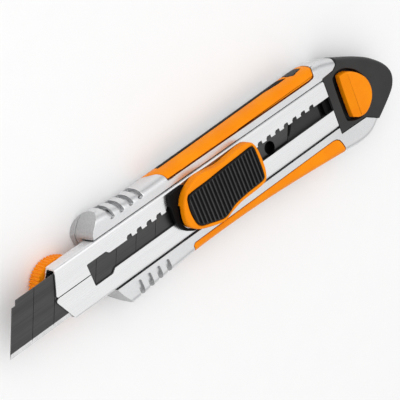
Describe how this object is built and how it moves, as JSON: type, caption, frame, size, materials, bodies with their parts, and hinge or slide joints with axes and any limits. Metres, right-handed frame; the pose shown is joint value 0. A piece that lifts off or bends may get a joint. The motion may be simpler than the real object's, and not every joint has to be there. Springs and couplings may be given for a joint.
{
  "type": "utility knife",
  "caption": "Snap-off utility knife: sliding blade with a notched lock, press-down thumb slider, knurled nose wheel that clamps the blade, and a pull-out magazine in the end cap.",
  "frame": {"origin": "bottom centre of the bounding box, on the flat back of the handle, with the knife lying on its back", "axes": "+X from the blade tip to the tail, +Y towards the spine of the blade, +Z out of the slider side"},
  "size_m": [0.2102, 0.0426, 0.0207],
  "materials": {
    "cast_metal": "satin, fine cast grain",
    "stainless": "satin, brushed along its length",
    "blade_steel": "blued, bright ground edge",
    "spring_steel": "bright",
    "orange_plastic": "satin moulded",
    "dark_plastic": "fine moulded texture",
    "black_plastic": "satin moulded",
    "rubber": "matt"
  },
  "bodies": {
    "handle": {"body_casting": "cast_metal", "back_cover": "cast_metal", "blade_channel": "stainless", "upper_grip": "orange_plastic", "lower_grip": "orange_plastic", "upper_grip_strip": "rubber", "lower_grip_strip": "rubber", "upper_grip_tip_inlay": "dark_plastic", "back_screw_1": "spring_steel", "back_screw_2": "spring_steel", "back_screw_3": "spring_steel", "back_screw_4": "spring_steel", "clamp_nut": "spring_steel"},
    "wheel": {"nose_wheel": "orange_plastic", "wheel_screw": "spring_steel", "clamp_pad": "spring_steel"},
    "slider": {"slider_carrier": "black_plastic", "blade_pin": "spring_steel", "slide_plate": "spring_steel", "slide_rivet": "spring_steel", "pawl_spring": "spring_steel", "press_spring": "spring_steel", "active_blade": "blade_steel"},
    "thumb_cap": {"slider_cap": "orange_plastic", "slider_pad": "rubber"},
    "pawl": {"slider_pawl": "spring_steel"},
    "magazine": {"end_cap": "dark_plastic", "magazine_tray": "dark_plastic", "magazine_spring": "spring_steel", "spare_blade_1": "blade_steel", "spare_blade_2": "blade_steel", "button_spring": "spring_steel"},
    "release_button": {"end_cap_button": "orange_plastic", "button_latch": "black_plastic"}
  },
  "joints": [
    {"name": "slider_slide", "type": "slide", "parent": "handle", "child": "slider", "axis": [-1, 0, 0], "range_m": [-0.042, 0.03]},
    {"name": "thumb_press", "type": "slide", "parent": "slider", "child": "thumb_cap", "axis": [0, 0, -1], "range_m": [0, 0.001], "stiffness_N_per_m": 500, "springref_m": -0.001, "deforming": ["press_spring"]},
    {"name": "pawl_retract", "type": "slide", "parent": "slider", "child": "pawl", "axis": [0, -1, 0], "range_m": [0, 0.0016]},
    {"name": "wheel_turn", "type": "hinge", "parent": "handle", "child": "wheel", "pos_m": [-0.07175, 0.00256, 0.00365], "axis": [0, 0, 1], "range_deg": [0, 120]},
    {"name": "end_cap_pull", "type": "slide", "parent": "handle", "child": "magazine", "axis": [1, 0, 0], "range_m": [0, 0.12]},
    {"name": "button_press", "type": "slide", "parent": "magazine", "child": "release_button", "axis": [0, 0, -1], "range_m": [0, 0.0015], "stiffness_N_per_m": 300, "springref_m": -0.002, "deforming": ["button_spring"]}
  ],
  "couplings": [
    {"joint": "pawl_retract", "follows": "thumb_press", "ratio": 1.6}
  ]
}
